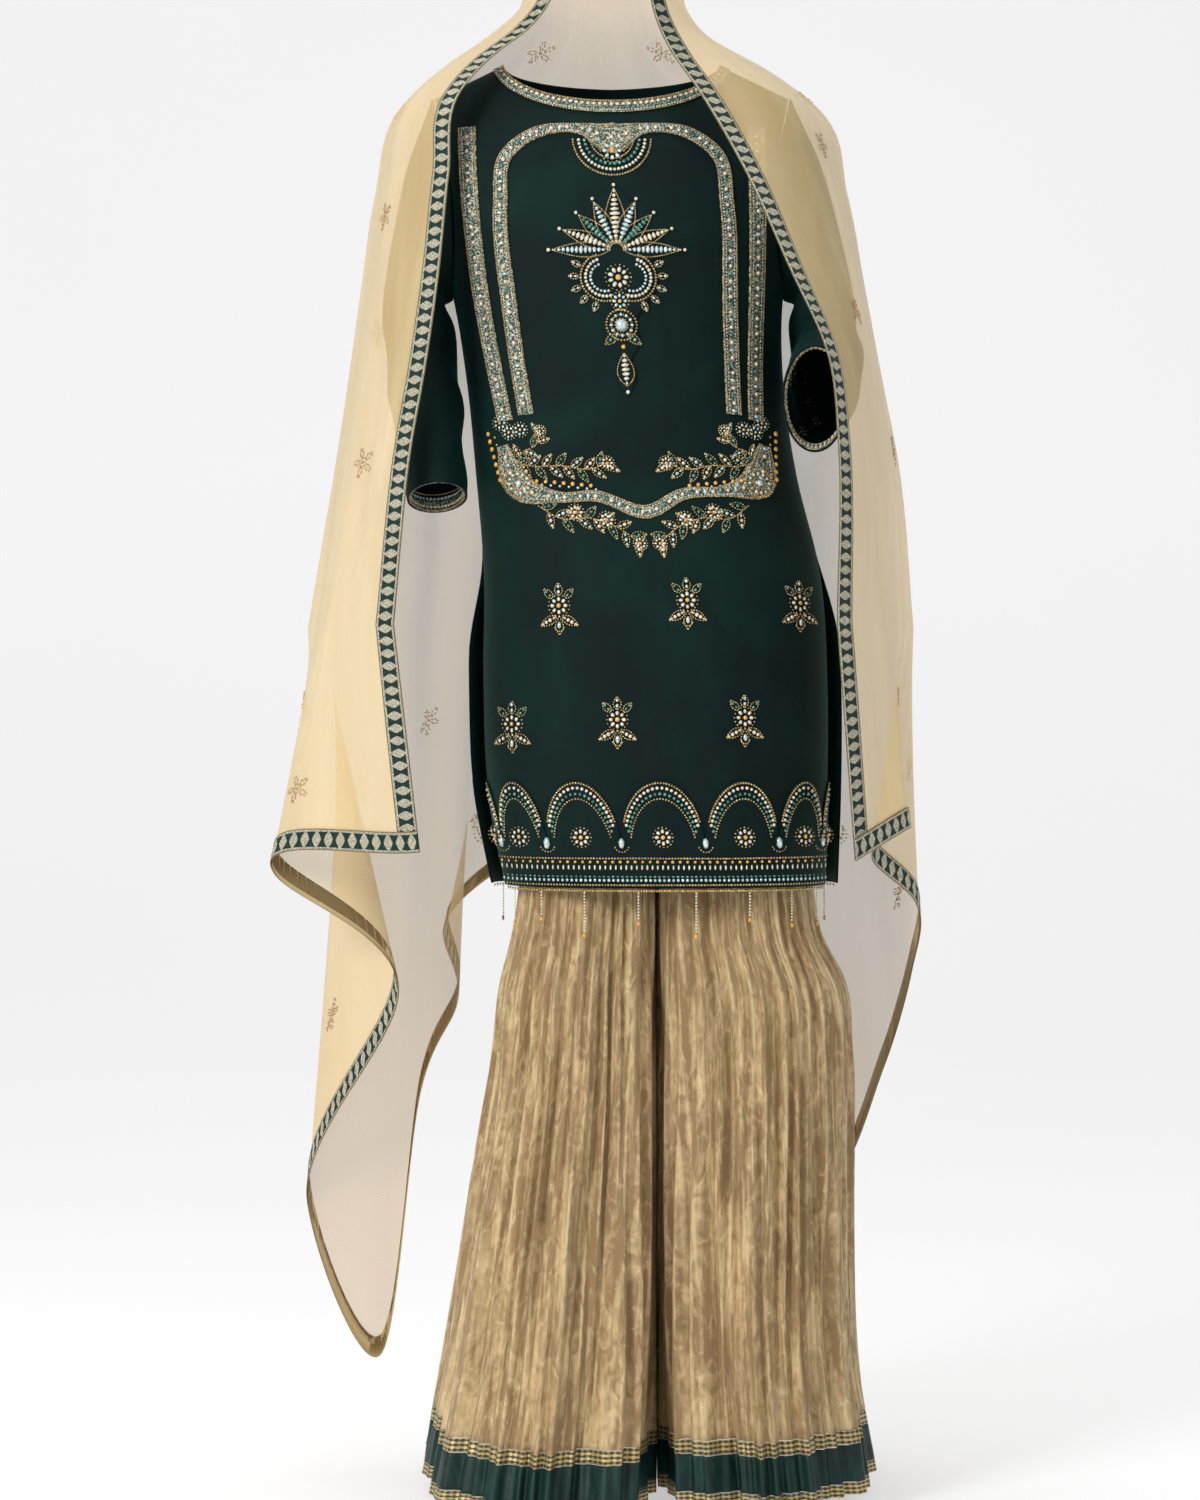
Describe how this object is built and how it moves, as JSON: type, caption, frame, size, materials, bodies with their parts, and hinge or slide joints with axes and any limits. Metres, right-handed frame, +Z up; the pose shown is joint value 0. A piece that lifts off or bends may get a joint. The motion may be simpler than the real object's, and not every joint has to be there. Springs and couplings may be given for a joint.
{
  "type": "salwar suit with kameez, sharara and dupatta",
  "caption": "Worn velvet kameez with beaded bands over wide gathered gold sharara legs, and a sheer net dupatta over the head, hollow, without its wearer.",
  "frame": {"origin": "on the wearer's shoulder line, at the body's middle, where the wearer holds the suit up", "axes": "+Z up, -Y the front, +X to the right of a viewer who faces the front"},
  "size_m": [0.6785, 0.4949, 1.7674],
  "materials": {
    "velvet": "bottle-green velvet with a soft pile sheen",
    "beadwork": "gold thread, pearls and crystals on green velvet",
    "tissue": "crushed gold tissue",
    "satin": "bottle-green satin",
    "lace": "woven gold lace with green sequins",
    "net": "sheer pale gold net"
  },
  "bodies": {
    "root": {"kameez_front": "velvet", "kameez_back": "velvet", "sleeve_left": "velvet", "sleeve_right": "velvet", "cuff_left": "beadwork", "cuff_right": "beadwork", "neck_border_front": "beadwork", "neck_border_back": "beadwork", "frame_band": "beadwork", "side_band_left": "beadwork", "side_band_right": "beadwork", "centre_motif": "beadwork", "yoke_band": "beadwork", "hem_border_front": "beadwork", "hem_border_back": "beadwork", "hem_fringe_front": "beadwork", "hem_fringe_back": "beadwork", "sharara_hip": "tissue", "leg_left": "tissue", "leg_right": "tissue", "satin_band_left": "satin", "satin_band_right": "satin", "upper_lace_left": "lace", "upper_lace_right": "lace", "lower_lace_left": "lace", "lower_lace_right": "lace", "dupatta_front_border": "lace", "dupatta_lower_border": "lace", "dupatta_cloth": "net"}
  },
  "joints": []
}
